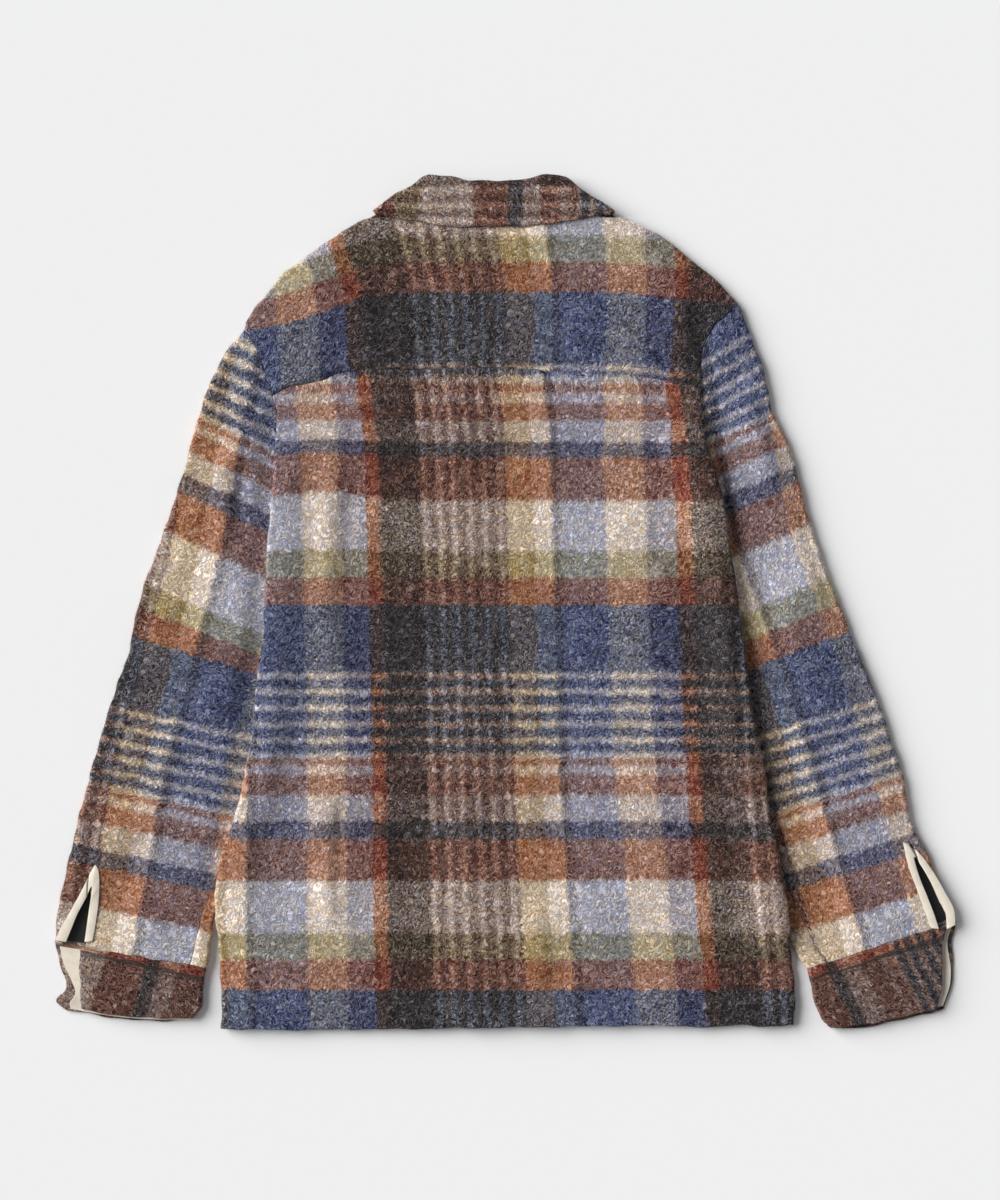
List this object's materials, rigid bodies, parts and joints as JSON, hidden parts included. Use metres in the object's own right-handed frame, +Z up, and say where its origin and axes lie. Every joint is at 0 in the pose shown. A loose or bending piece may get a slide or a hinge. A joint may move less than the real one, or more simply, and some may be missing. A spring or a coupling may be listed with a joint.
{
  "type": "plaid wool shacket",
  "caption": "Brushed plaid shirt-jacket laid flat face-down, its back on top, with folded collar, yoke, long sleeves and open cuff slits.",
  "frame": {"origin": "centre of the whole outline, on the plane the garment rests on", "axes": "+Z up from the table to the back of the garment, +Y from hem to collar, +X across, to the wearer's right sleeve"},
  "size_m": [0.813, 0.7704, 0.0142],
  "materials": {
    "plaid_wool": "brushed matte plaid in rust, navy, mustard and cream",
    "cream_tape": "matte cotton twill",
    "black_lining": "satin",
    "horn_button": "satin horn look"
  },
  "bodies": {
    "root": {"back_panel": "plaid_wool", "back_yoke": "plaid_wool", "front_left": "plaid_wool", "front_right": "plaid_wool", "collar_stand": "plaid_wool", "collar_leaf": "plaid_wool", "sleeve_left_upper": "plaid_wool", "sleeve_left_under": "plaid_wool", "sleeve_right_upper": "plaid_wool", "sleeve_right_under": "plaid_wool", "cuff_left": "plaid_wool", "cuff_right": "plaid_wool", "cuff_facing_left": "cream_tape", "cuff_facing_right": "cream_tape", "slit_binding_left": "cream_tape", "slit_binding_right": "cream_tape", "sleeve_lining_left": "black_lining", "sleeve_lining_right": "black_lining", "front_button_1": "horn_button", "front_button_2": "horn_button", "front_button_3": "horn_button", "front_button_4": "horn_button", "front_button_5": "horn_button"}
  },
  "joints": []
}
